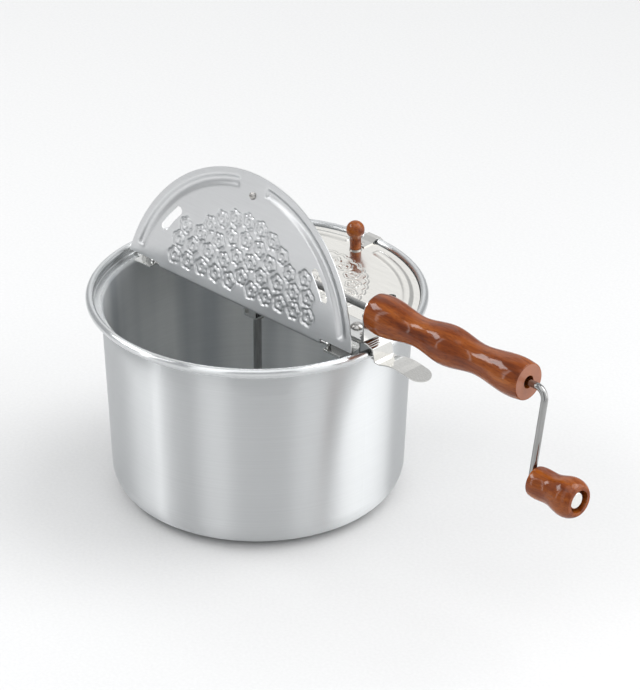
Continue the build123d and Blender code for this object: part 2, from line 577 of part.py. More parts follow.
def lid_plate(side):
    """Flat half lid on the given side of the middle: sheet, rolled hinge edge, ridges, vents."""
    lid_axis = Axis((LID_SHIFT, 0, 0), (0, 0, 1))
    ridge_sweep = RIDGE_END - RIDGE_START
    with BuildPart() as plate:
        with BuildSketch(Plane.XY.offset(LID_UNDER)):
            with Locations((LID_SHIFT, 0)):
                Circle(LID_RADIUS)
            with Locations((LID_SHIFT, side * (HINGE_Y + EDGE_SETBACK + LID_RADIUS / 2))):
                Rectangle(2 * LID_RADIUS, LID_RADIUS, mode=Mode.INTERSECT)
            with Locations((LID_SHIFT, side * (HINGE_Y + EDGE_SETBACK))):
                Rectangle(2 * ROLL_HALF, 2 * EDGE_SETBACK)
        extrude(amount=LID_SHEET)
        with BuildSketch(Plane.YZ.offset(LID_SHIFT - ROLL_HALF)):
            with Locations((side * HINGE_Y, HINGE_Z)):
                Circle(ROLL_RADIUS)
                Circle(ROLL_RADIUS - LID_SHEET, mode=Mode.SUBTRACT)
            # the roll's free edge stops short of the sheet
            with Locations((side * (HINGE_Y + ROLL_RADIUS - LID_SHEET / 2), HINGE_Z - 0.5)):
                Rectangle(LID_SHEET + 0.4, 0.5, mode=Mode.SUBTRACT)
        extrude(amount=2 * ROLL_HALF)
        for start, way in ((RIDGE_START, side), (180 - RIDGE_START, -side)):
            with BuildSketch(ridge_plane(side, start)):
                Polygon(*[(LID_RADIUS - inset, LID_TOP - 0.05 + h) for inset, h in RIDGE], align=None)
            revolve(axis=lid_axis, revolution_arc=way * ridge_sweep)
        for start, way in ((RIDGE_START + 0.4, side), (179.6 - RIDGE_START, -side)):
            with BuildSketch(ridge_plane(side, start)):
                Polygon(*[(LID_RADIUS - inset, LID_UNDER - 0.02 + h) for inset, h in RIDGE], align=None)
            revolve(axis=lid_axis, revolution_arc=way * (ridge_sweep - 0.8), mode=Mode.SUBTRACT)
        with BuildSketch(Plane.XY.offset(LID_UNDER - 1)):
            for start in (VENT_START, 180 - VENT_START - VENT_SWEEP):
                arc_start = start if side > 0 else -start - VENT_SWEEP
                slot_arc = CenterArc((LID_SHIFT, 0), VENT_RADIUS, arc_start, VENT_SWEEP, mode=Mode.PRIVATE)
                SlotArc(slot_arc, VENT_WIDTH)
            with Locations(knob_place(side)):
                Circle(KNOB_SCREW_RADIUS + SEATED)
            if side > 0:
                with Locations((RIM_CLIP_X, RIM_CLIP_RIVET_Y)):
                    Circle(RIM_CLIP_RIVET + SEATED)
        extrude(amount=4, mode=Mode.SUBTRACT)
    return plate.part


def lid_knob(side):
    """Turned knob standing on its washer on a closed lid: a ball on a straight neck."""
    base = LID_TOP + KNOB_WASHER
    centre = KNOB_HEIGHT - BALL_RADIUS
    reach = NECK_RADIUS + NECK_BLEND
    drop = sqrt((BALL_RADIUS + NECK_BLEND) ** 2 - reach ** 2)
    part_way = BALL_RADIUS / (BALL_RADIUS + NECK_BLEND)
    with BuildPart() as knob:
        with BuildSketch(Plane(knob_place(side, base), x_dir=(1, 0, 0), z_dir=(0, -1, 0))):
            with BuildLine() as outline:
                Polyline((0, 0), (NECK_RADIUS, 0), (NECK_RADIUS, centre - drop))
                TangentArc((NECK_RADIUS, centre - drop), (reach * part_way, centre - drop * part_way),
                           tangent=(0, 1))
                TangentArc((reach * part_way, centre - drop * part_way), (0, KNOB_HEIGHT),
                           tangent=(drop, reach))
                Line((0, KNOB_HEIGHT), (0, 0))
            add(make_face(outline.line.edges(), mode=Mode.PRIVATE))
        revolve(axis=Axis(knob_place(side), (0, 0, 1)))
        with Locations(knob_place(side, base)):
            Cylinder(KNOB_SCREW_RADIUS + SEATED, KNOB_SCREW_DEPTH,
                     align=(Align.CENTER, Align.CENTER, Align.MIN), mode=Mode.SUBTRACT)
    return knob.part


def knob_screw(side):
    """Round-headed screw from the lid's underside into the knob."""
    shank = LID_SHEET + KNOB_WASHER + KNOB_SCREW_DEPTH
    with BuildPart() as screw:
        with Locations(knob_place(side, LID_UNDER)):
            Cylinder(KNOB_SCREW_RADIUS, shank, align=(Align.CENTER, Align.CENTER, Align.MIN))
            Cylinder(KNOB_SCREW_HEAD, 1.7, align=(Align.CENTER, Align.CENTER, Align.MAX))
        fillet(screw.edges().filter_by(GeomType.CIRCLE).sort_by(Axis.Z)[0], 1.2)
        with Locations(knob_place(side, LID_UNDER - 1.7)):
            Box(3.4, 0.7, 0.9, align=(Align.CENTER, Align.CENTER, Align.MIN), mode=Mode.SUBTRACT)
    return screw.part


def knob_washer(side):
    """Thin washer between the lid and the knob."""
    with BuildPart() as washer:
        with Locations(knob_place(side, LID_TOP)):
            Cylinder(KNOB_WASHER_RADIUS, KNOB_WASHER, align=(Align.CENTER, Align.CENTER, Align.MIN))
            Cylinder(KNOB_SCREW_RADIUS + SEATED, 4 * KNOB_WASHER, mode=Mode.SUBTRACT)
    return washer.part


for suffix, make_piece in (("lid", lid_plate), ("lid_knob", lid_knob),
                           ("knob_screw", knob_screw), ("knob_washer", knob_washer)):
    with BuildPart() as rear_piece:
        add(make_piece(1).rotate(REAR_HINGE, CLOSED_TILT))
    rear_piece.part.label = f"rear_{suffix}"
    export_step(rear_piece.part, f"parts/rear_{suffix}.step")
    # the front lid stands open, past upright
    with BuildPart() as front_piece:
        add(make_piece(-1).rotate(FRONT_HINGE, -OPEN_ANGLE))
    front_piece.part.label = f"front_{suffix}"
    export_step(front_piece.part, f"parts/front_{suffix}.step")

# ---------------------------------------------------------------- clip from the rear lid over the bead
clip_over = BEAD_HEIGHT + BEAD_RADIUS + RIM_CLIP_SHEET / 2 + LAID
with BuildPart() as flat_rim_clip:
    with BuildSketch(Plane.YZ.offset(RIM_CLIP_X - RIM_CLIP_HALF)):
        with BuildLine():
            FilletPolyline((RIM_CLIP_START, LID_TOP + RIM_CLIP_SHEET / 2),
                           (RIM_CLIP_BEND, LID_TOP + RIM_CLIP_SHEET / 2),
                           in_lid(BEAD_CENTRE - BEAD_RADIUS + 0.92, clip_over),
                           in_lid(BEAD_CENTRE + BEAD_RADIUS - 1.22, clip_over),
                           in_lid(BEAD_CENTRE + BEAD_RADIUS + 1.78, BEAD_HEIGHT), radius=0.8)
        trace(line_width=RIM_CLIP_SHEET)
    extrude(amount=2 * RIM_CLIP_HALF)
    with Locations((RIM_CLIP_X, RIM_CLIP_RIVET_Y, LID_TOP)):
        Cylinder(RIM_CLIP_RIVET + SEATED, 4, mode=Mode.SUBTRACT)
with BuildPart() as rim_clip:
    add(flat_rim_clip.part.rotate(REAR_HINGE, CLOSED_TILT))
rim_clip.part.label = "rim_clip"
export_step(rim_clip.part, "parts/rim_clip.step")

with BuildPart() as flat_rim_clip_rivet:
    rivet(RIM_CLIP_X, RIM_CLIP_RIVET_Y, LID_UNDER, LID_TOP + RIM_CLIP_SHEET, RIM_CLIP_RIVET, 1.9, 0.7)
    fillet(flat_rim_clip_rivet.edges().filter_by(GeomType.CIRCLE).sort_by(Axis.Z)[-1], 0.6)
with BuildPart() as rim_clip_rivet:
    add(flat_rim_clip_rivet.part.rotate(REAR_HINGE, CLOSED_TILT))
rim_clip_rivet.part.label = "rim_clip_rivet"
export_step(rim_clip_rivet.part, "parts/rim_clip_rivet.step")

# ---------------------------------------------------------------- spring clip: sprung tongue
clip_mid = HAT_TOP + CLIP_SHEET / 2
clip_start = HANDLE_START + CLIP_SPLIT
shoulder_x = BEAD_CENTRE + TONGUE_LINE[0][0]
with BuildPart() as release_clip:
    with BuildSketch(Plane.XZ):
        with BuildLine():
            FilletPolyline((clip_start, clip_mid), (clip_start + 0.8, clip_mid),
                           *[(BEAD_CENTRE + out, LEDGE_TOP + up) for out, up in TONGUE_LINE],
                           radius=CLIP_BEND)
        trace(line_width=CLIP_SHEET)
    extrude(amount=UPRIGHT_HALF, both=True)
    # cross ribs on the slope
    with BuildSketch(Plane.XZ):
        with Locations(*[(shoulder_x - 3.5 + 1.1 * i, LEDGE_TOP + 13.7 - i) for i in range(3)]):
            Circle(CLIP_RIB)
    extrude(amount=UPRIGHT_HALF, both=True)
    # outline: tapers from the upright to the shoulder, ends in a round thumb tongue
    with BuildSketch(Plane.XY.offset(LEDGE_TOP - 5)):
        with BuildLine():
            Polyline((BEAD_CENTRE + THUMB_START, CLIP_SHOULDER_HALF),
                     (shoulder_x + 0.2, CLIP_SHOULDER_HALF), (clip_start, UPRIGHT_HALF),
                     (clip_start, -UPRIGHT_HALF), (shoulder_x + 0.2, -CLIP_SHOULDER_HALF),
                     (BEAD_CENTRE + THUMB_START, -CLIP_SHOULDER_HALF))
            ThreePointArc((BEAD_CENTRE + THUMB_START, -CLIP_SHOULDER_HALF),
                          (BEAD_CENTRE + THUMB_END, 0),
                          (BEAD_CENTRE + THUMB_START, CLIP_SHOULDER_HALF))
        make_face()
    extrude(amount=HAT_RISE + 10, mode=Mode.INTERSECT)
    # hooks lanced inward under the bead
    with Locations(*[(shoulder_x - 0.5, side * 5.5, LEDGE_TOP + 1.0) for side in (-1, 1)]):
        Box(6.0, 3.0, 0.8)
release_clip.part.label = "release_clip"
export_step(release_clip.part, "parts/release_clip.step")


# ---------------------------------------------------------------- bevel gears
def bevel_gear(bore, hub_end, half_step):
    """Mitre gear with its apex at the origin and its axis on Z, hanging below the apex."""
    cone_length = PITCH_RADIUS * sqrt(2)
    inner = (cone_length - FACE_WIDTH) / cone_length
    root_r = PITCH_RADIUS - DEDENDUM / sqrt(2)
    root_z = -PITCH_RADIUS - DEDENDUM / sqrt(2)
    rim_r = root_r - GEAR_RIM / sqrt(2)
    rim_z = root_z - GEAR_RIM / sqrt(2)
    half_tooth = (pi * MODULE / 2 - BACKLASH) / 2
    slope = tan(radians(20))
    root_y = -DEDENDUM - 0.3
    with BuildPart() as tooth:
        for scale in (1, inner):
            tooth_plane = Plane(origin=(scale * PITCH_RADIUS, 0, -scale * PITCH_RADIUS),
                                x_dir=(0, 1, 0), z_dir=(1, 0, -1))
            with BuildSketch(tooth_plane):
                Polygon((scale * (half_tooth - root_y * slope), scale * root_y),
                        (scale * (half_tooth - ADDENDUM * slope), scale * ADDENDUM),
                        (-scale * (half_tooth - ADDENDUM * slope), scale * ADDENDUM),
                        (-scale * (half_tooth - root_y * slope), scale * root_y), align=None)
        loft(ruled=True)
    with BuildPart() as gear:
        with BuildSketch(Plane.XZ):
            Polygon((0, inner * root_z), (inner * root_r, inner * root_z), (root_r, root_z),
                    (rim_r, rim_z), (HUB_RADIUS, rim_z), (HUB_RADIUS, hub_end), (0, hub_end), align=None)
        revolve(axis=Axis.Z)
        with PolarLocations(0, TEETH, start_angle=180 / TEETH if half_step else 0):
            add(tooth.part)
        Cylinder(bore, 100, mode=Mode.SUBTRACT)
    return gear.part


with BuildPart() as stir_gear:
    with Locations((0, 0, ROD_HEIGHT)):
        add(bevel_gear(SHAFT_RADIUS + SEATED, BRACKET_TOP + GEAR_WASHER - ROD_HEIGHT, False))
stir_gear.part.label = "stir_gear"
export_step(stir_gear.part, "parts/stir_gear.step")

with BuildPart() as crank_gear:
    with Locations(Location((0, 0, ROD_HEIGHT), (0, -90, 0))):
        add(bevel_gear(ROD_RADIUS + SEATED, BUSH_FLANGE_THICKNESS + GEAR_END_PLAY - GEAR_WALL_X, True))
crank_gear.part.label = "crank_gear"
export_step(crank_gear.part, "parts/crank_gear.step")

# ---------------------------------------------------------------- crank rod
with BuildPart() as crank_rod:
    arm_way = Vector(0, -sin(radians(ARM_ANGLE)), -cos(radians(ARM_ANGLE)))
    ahead = Vector(1, 0, 0)
    elbow = Vector(ARM_X, 0, ROD_HEIGHT)
    heel = Vector(ARM_X, SPINDLE_Y, SPINDLE_Z)
    inset = 1 - 1 / sqrt(2)
    with BuildLine():
        Line((ROD_TIP, 0, ROD_HEIGHT), elbow - ahead * ARM_BEND)
        ThreePointArc(elbow - ahead * ARM_BEND, elbow + (arm_way - ahead) * ARM_BEND * inset,
                      elbow + arm_way * ARM_BEND)
        Line(elbow + arm_way * ARM_BEND, heel - arm_way * SPINDLE_BEND)
        ThreePointArc(heel - arm_way * SPINDLE_BEND, heel + (ahead - arm_way) * SPINDLE_BEND * inset,
                      heel + ahead * SPINDLE_BEND)
        Line(heel + ahead * SPINDLE_BEND, (NUT_START + CAP_NUT_HEIGHT - 1.0, SPINDLE_Y, SPINDLE_Z))
    with BuildSketch(Plane.YZ.offset(ROD_TIP)):
        with Locations((0, ROD_HEIGHT)):
            Circle(ROD_RADIUS)
    sweep()
crank_rod.part.label = "crank_rod"
export_step(crank_rod.part, "parts/crank_rod.step")

with BuildPart() as rod_collar:
    with BuildSketch(Plane.YZ.offset(GEAR_WALL_X + BUSH_BARREL + GEAR_END_PLAY)):
        with Locations((0, ROD_HEIGHT)):
            Circle(COLLAR_RADIUS)
            Circle(ROD_RADIUS + SEATED, mode=Mode.SUBTRACT)
    extrude(amount=COLLAR_LENGTH)
    chamfer(rod_collar.edges().filter_by(GeomType.CIRCLE).group_by(SortBy.RADIUS)[-1], 0.4)
rod_collar.part.label = "rod_collar"
export_step(rod_collar.part, "parts/rod_collar.step")

# ---------------------------------------------------------------- crank knob and its fastening
knob_plane = Plane(origin=(CRANK_KNOB_START, SPINDLE_Y, SPINDLE_Z), x_dir=(1, 0, 0), z_dir=(0, -1, 0))
with BuildPart() as crank_knob:
    with BuildSketch(knob_plane):
        add(turned_profile(CRANK_KNOB_RADII, True))
    revolve(axis=Axis((0, SPINDLE_Y, SPINDLE_Z), (1, 0, 0)))
    fillet(crank_knob.edges().filter_by(GeomType.CIRCLE), 0.6)
    with BuildSketch(Plane.YZ.offset(CRANK_KNOB_START - 1)):
        with Locations((SPINDLE_Y, SPINDLE_Z)):
            Circle(ROD_RADIUS + RUNNING)
    extrude(amount=60, mode=Mode.SUBTRACT)
    with BuildSketch(Plane.YZ.offset(RECESS_FLOOR)):
        with Locations((SPINDLE_Y, SPINDLE_Z)):
            Circle(RECESS_RADIUS)
    extrude(amount=2 * RECESS_DEPTH, mode=Mode.SUBTRACT)
crank_knob.part.label = "crank_knob"
export_step(crank_knob.part, "parts/crank_knob.step")

with BuildPart() as knob_disc:
    with BuildSketch(Plane.YZ.offset(NUT_START - KNOB_DISC)):
        with Locations((SPINDLE_Y, SPINDLE_Z)):
            Circle(KNOB_DISC_RADIUS)
            Circle(ROD_RADIUS + SEATED, mode=Mode.SUBTRACT)
    extrude(amount=KNOB_DISC)
knob_disc.part.label = "knob_disc"
export_step(knob_disc.part, "parts/knob_disc.step")

with BuildPart() as cap_nut:
    with BuildSketch(Plane.YZ.offset(NUT_START)):
        with Locations((SPINDLE_Y, SPINDLE_Z)):
            Circle(CAP_NUT_RADIUS)
    extrude(amount=CAP_NUT_HEIGHT)
    fillet(cap_nut.edges().filter_by(GeomType.CIRCLE).sort_by(Axis.X)[-1], 1.6)
    with BuildSketch(Plane.YZ.offset(NUT_START)):
        with Locations((SPINDLE_Y, SPINDLE_Z)):
            Circle(ROD_RADIUS + SEATED)
    extrude(amount=CAP_NUT_HEIGHT - 0.9, mode=Mode.SUBTRACT)
cap_nut.part.label = "cap_nut"
export_step(cap_nut.part, "parts/cap_nut.step")

# ---------------------------------------------------------------- stirring shaft and stirrer
with BuildPart() as stir_shaft:
    with Locations((0, 0, SHAFT_FOOT)):
        Cylinder(SHAFT_RADIUS, SHAFT_TOP - SHAFT_FOOT, align=(Align.CENTER, Align.CENTER, Align.MIN))
    chamfer(stir_shaft.edges().filter_by(GeomType.CIRCLE), 0.4)
    with Locations(Location((0, 0, STIRRER_Z), (0, 90, 0))):
        Cylinder(STIRRER_WIRE + SEATED, 20, mode=Mode.SUBTRACT)
stir_shaft.part.label = "stir_shaft"
export_step(stir_shaft.part, "parts/stir_shaft.step")

with BuildPart() as gear_washer:
    with Locations((0, 0, BRACKET_TOP + GEAR_WASHER / 2)):
        Cylinder(GEAR_WASHER_RADIUS, GEAR_WASHER - 2 * SEATED)
        Cylinder(SHAFT_RADIUS + SEATED, 2 * GEAR_WASHER, mode=Mode.SUBTRACT)
gear_washer.part.label = "gear_washer"
export_step(gear_washer.part, "parts/gear_washer.step")

with BuildPart() as shaft_ring:
    with Locations((0, 0, STRAP_BOTTOM - RING_PLAY)):
        Cylinder(RING_RADIUS, RING_THICKNESS, align=(Align.CENTER, Align.CENTER, Align.MAX))
    with Locations((0, 0, STRAP_BOTTOM)):
        Cylinder(SHAFT_RADIUS + SEATED, 6, mode=Mode.SUBTRACT)
shaft_ring.part.label = "shaft_ring"
export_step(shaft_ring.part, "parts/shaft_ring.step")

with BuildPart() as stirrer_hub:
    with Locations((0, 0, SHAFT_FOOT)):
        Cylinder(STIRRER_HUB_RADIUS, STIRRER_HUB_TOP - SHAFT_FOOT,
                 align=(Align.CENTER, Align.CENTER, Align.MIN))
    chamfer(stirrer_hub.edges().filter_by(GeomType.CIRCLE), 0.7)
    Cylinder(SHAFT_RADIUS + SEATED, 60, mode=Mode.SUBTRACT)
    with Locations(Location((0, 0, STIRRER_Z), (0, 90, 0))):
        Cylinder(STIRRER_WIRE + SEATED, 30, mode=Mode.SUBTRACT)
stirrer_hub.part.label = "stirrer_hub"
export_step(stirrer_hub.part, "parts/stirrer_hub.step")

with BuildPart() as stirrer_wire:
    with BuildLine(Plane.XY.offset(STIRRER_Z)) as stirrer_route:
        FilletPolyline((-STIRRER_REACH, -STIRRER_SWEPT), (-STIRRER_STRAIGHT, 0), (STIRRER_STRAIGHT, 0),
                       (STIRRER_REACH, STIRRER_SWEPT), radius=STIRRER_BEND)
    with BuildSketch(Plane(origin=stirrer_route.line @ 0, z_dir=stirrer_route.line % 0)):
        Circle(STIRRER_WIRE)
    sweep()
stirrer_wire.part.label = "stirrer_wire"
export_step(stirrer_wire.part, "parts/stirrer_wire.step")
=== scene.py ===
# %% [markdown]
# # A stovetop popcorn popper
# A pot of spun aluminium with a rolled rim. A steel bridge lies across it and carries two half lids,
# a turned wooden handle, and a crank whose bevel gears turn a stirrer on the floor of the pot.
# The solid model is loaded as a fixed frame, in metres, with its origin in the middle of the pot's
# base, +Z up and the handle along +X. Everything made here goes onto that frame.

# %% Load the frame
import math
import bpy
import bmesh
import numpy as np
from mathutils import Matrix, Quaternion, Vector


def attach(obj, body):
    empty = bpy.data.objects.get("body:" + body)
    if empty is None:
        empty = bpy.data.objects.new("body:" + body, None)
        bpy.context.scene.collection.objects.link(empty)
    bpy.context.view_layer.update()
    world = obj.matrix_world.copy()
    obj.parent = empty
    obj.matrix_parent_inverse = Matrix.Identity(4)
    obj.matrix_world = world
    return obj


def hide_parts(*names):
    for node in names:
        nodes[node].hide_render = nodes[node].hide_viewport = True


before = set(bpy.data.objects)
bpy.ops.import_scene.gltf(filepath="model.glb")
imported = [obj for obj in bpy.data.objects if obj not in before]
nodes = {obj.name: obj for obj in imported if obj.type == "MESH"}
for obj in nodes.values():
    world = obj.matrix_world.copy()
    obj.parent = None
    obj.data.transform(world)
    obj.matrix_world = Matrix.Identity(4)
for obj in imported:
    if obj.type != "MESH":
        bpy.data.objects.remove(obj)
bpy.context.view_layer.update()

MM = 0.001
print("nodes", len(nodes))

# %% [markdown]
# ## The camera
# A long lens from well above and to the right of the pot's front, so that the rim is an open ellipse
# and the handle comes toward the viewer. The lens follows from how much of the object the frame holds.

# %% Camera
CAMERA_PLACE = Vector((1.71583, -1.64657, 1.38225))
LOOK = Vector((-0.62448, 0.62259, -0.47159))
ROLL = 0.0021
LENS = 193.5

camera_data = bpy.data.cameras.new("camera")
camera_data.lens = LENS
camera_data.sensor_width = 36.0
camera = bpy.data.objects.new("camera", camera_data)
bpy.context.scene.collection.objects.link(camera)
camera.location = CAMERA_PLACE
camera.rotation_mode = "QUATERNION"
camera.rotation_quaternion = LOOK.to_track_quat("-Z", "Y") @ Quaternion((0, 0, 1), ROLL)
bpy.context.scene.camera = camera
print("camera", [round(c, 3) for c in camera.location], "lens", LENS)

# %% [markdown]
# ## Studio
# Bright metal shows little of itself: what the eye sees is the room in it. A pale floor, an even pale
# world and a few large soft lamps give the long upright bands that a round pot shows. Those lamps are
# placed by the direction in which the pot's wall would mirror them. Two very distant lamps light the
# floor evenly, and one more is turned down onto the floor behind the pot.

# %% World and floor
WORLD_LIGHT = 0.50
FLOOR_SIZE = 8.0

scene = bpy.context.scene
scene.view_settings.view_transform = "Standard"     # whites stay white, as on a pale studio sweep
world = bpy.data.worlds.new("studio")
scene.world = world
world.use_nodes = True
sky = world.node_tree.nodes["Background"]
sky.inputs["Color"].default_value = (0.97, 0.985, 1.0, 1.0)
sky.inputs["Strength"].default_value = WORLD_LIGHT

bpy.ops.object.select_all(action="DESELECT")
bpy.ops.mesh.primitive_plane_add(size=FLOOR_SIZE, location=(0, 0, 0))
floor = bpy.context.object
floor.name = "floor"
print("floor", FLOOR_SIZE, "m, world", WORLD_LIGHT)


# %% Lamps
def soft_lamp(name, azimuth, height, distance, width, tall, radiance):
    """A large soft lamp that faces the object, given by its radiance rather than its power."""
    data = bpy.data.lights.new(name, "AREA")
    data.shape = "RECTANGLE"
    data.size = width
    data.size_y = tall
    data.energy = radiance * math.pi * width * tall
    lamp = bpy.data.objects.new(name, data)
    scene.collection.objects.link(lamp)
    turn = math.radians(azimuth)
    lamp.location = (distance * math.cos(turn), distance * math.sin(turn), height)
    lamp.rotation_mode = "QUATERNION"
    lamp.rotation_quaternion = (Vector((0, 0, 0.08)) - lamp.location).to_track_quat("-Z", "Y")
    print("lamp", name, "azimuth", azimuth, "power", round(data.energy, 2))
    return lamp


def far_lamp(name, azimuth, elevation, angle, strength):
    """A soft lamp so far off that it lights the whole floor evenly, given by its apparent size."""
    data = bpy.data.lights.new(name, "SUN")
    data.angle = math.radians(angle)
    data.energy = strength
    lamp = bpy.data.objects.new(name, data)
    scene.collection.objects.link(lamp)
    lamp.location = (0, 0, 2)
    turn, lift = math.radians(azimuth), math.radians(elevation)
    toward = Vector((math.cos(lift) * math.cos(turn), math.cos(lift) * math.sin(turn), math.sin(lift)))
    lamp.rotation_mode = "QUATERNION"
    lamp.rotation_quaternion = toward.to_track_quat("Z", "Y")
    print("far lamp", name, "azimuth", azimuth, "elevation", elevation)
    return lamp


soft_lamp("back_right_lamp", 39, 0.60, 1.10, 1.08, 1.2, 1.8)
soft_lamp("left_strip_lamp", -117, 0.60, 1.00, 0.11, 1.2, 3.2)
soft_lamp("front_left_lamp", -75, 0.60, 1.00, 0.42, 1.2, 0.85)
soft_lamp("front_right_lamp", -8, 0.60, 1.00, 0.42, 1.2, 0.75)
soft_lamp("high_left_lamp", -148, 1.17, 1.20, 0.7, 0.42, 7.5)
soft_lamp("back_lamp", 136, 1.15, 2.00, 1.3, 1.1, 0.5)
far_lamp("key_lamp", 60, 58, 38, 1.0)
far_lamp("fill_lamp", -60, 74, 50, 0.6)
backdrop = soft_lamp("backdrop_lamp", 135, 1.5, 1.25, 1.5, 1.0, 0.2)
backdrop.rotation_quaternion = Vector((0.25, -0.25, -1)).to_track_quat("-Z", "Y")
backdrop.data.spread = math.radians(110)

# %% [markdown]
# ## Tools for materials
# Colours are written as a screen shows them and turned to linear light by one function. One more small
# function adds a node with its settings and links, so that each material below reads as a short list.


# %% Colour and node helpers
def linear(code):
    """A colour as hex on a screen, turned to the linear light that Blender mixes."""
    parts = [int(code[i:i + 2], 16) / 255 for i in (1, 3, 5)]
    return [c / 12.92 if c <= 0.04045 else ((c + 0.055) / 1.055) ** 2.4 for c in parts] + [1.0]


def add_node(tree, kind, settings=None, links=None):
    """Adds one node, sets its sockets and properties, and links sockets to it."""
    node = tree.nodes.new(kind)
    for key, value in (settings or {}).items():
        if isinstance(key, int) or key in node.inputs:
            node.inputs[key].default_value = value
        else:
            setattr(node, key, value)
    for key, source in (links or {}).items():
        tree.links.new(source, node.inputs[key])
    return node


def new_material(name, settings):
    """A material with its shader's own sockets set."""
    material = bpy.data.materials.new(name)
    material.use_nodes = True
    shader = material.node_tree.nodes["Principled BSDF"]
    for key, value in settings.items():
        shader.inputs[key].default_value = value
    return material, material.node_tree, shader


def object_noise(tree, stretch, scale, detail=3.0, turn=(0, 0, 0)):
    """Noise in the piece's own space, stretched so that it is coarse along the small axes."""
    place = add_node(tree, "ShaderNodeTexCoord")
    fitted = add_node(tree, "ShaderNodeMapping", {"Rotation": turn, "Scale": stretch},
                      {"Vector": place.outputs["Object"]})
    return add_node(tree, "ShaderNodeTexNoise", {"Scale": scale, "Detail": detail},
                    {"Vector": fitted.outputs["Vector"]})


def ramp(tree, source, stops):
    """A colour ramp with the given places and colours."""
    node = add_node(tree, "ShaderNodeValToRGB", links={"Fac": source})
    band = node.color_ramp
    while len(band.elements) < len(stops):
        band.elements.new(0.5)
    for element, (place, colour) in zip(band.elements, stops):
        element.position = place
        element.color = colour
    return node


def spread(tree, source, low, high):
    """Maps noise that runs mostly from 0.3 to 0.7 onto a range."""
    return add_node(tree, "ShaderNodeMapRange",
                    {"From Min": 0.3, "From Max": 0.7, "To Min": low, "To Max": high},
                    {"Value": source})


def dress(node_name, material):
    """Gives a node of the frame its material."""
    slots = nodes[node_name].data.materials
    slots.clear()
    slots.append(material)


print("helpers ready; white is", [round(c, 3) for c in linear("#ffffff")])

# %% [markdown]
# ## Floor finish
# The sweep is matt painted board: no gloss, with a very faint tooth that a flat white would lack.

# %% Matt painted board
floor_paint, tree, shader = new_material("matt_painted_board", {"Roughness": 0.9, "IOR": 1.45})
tooth = object_noise(tree, (1, 1, 1), 400.0)
board = ramp(tree, tooth.outputs["Fac"], [(0.3, linear("#d5d5d5")), (0.7, linear("#d9d9d9"))])
tree.links.new(board.outputs["Color"], shader.inputs["Base Color"])
floor.data.materials.append(floor_paint)
print("material", floor_paint.name)

# %% [markdown]
# ## Brushed aluminium
# The pot is spun from sheet on a lathe and brushed as it turns, so the marks run round it. Light is
# then spread up and down but kept narrow across, which draws the tall bands. Real marks are some
# 0.05 mm apart; here the pattern is drawn at about 0.6 mm, the finest that a picture of the whole
# pot can show.


# %% Brushed aluminium
RIM_FOOT = 147.4 * MM                  # the ledge and the rolled rim are polished by handling
RIM_BLEND = 0.6 * MM                   # the matt inside turns to the polished ledge over this height
RIM_SMOOTHING = 0.55                   # the rim's roughness beside the wall's


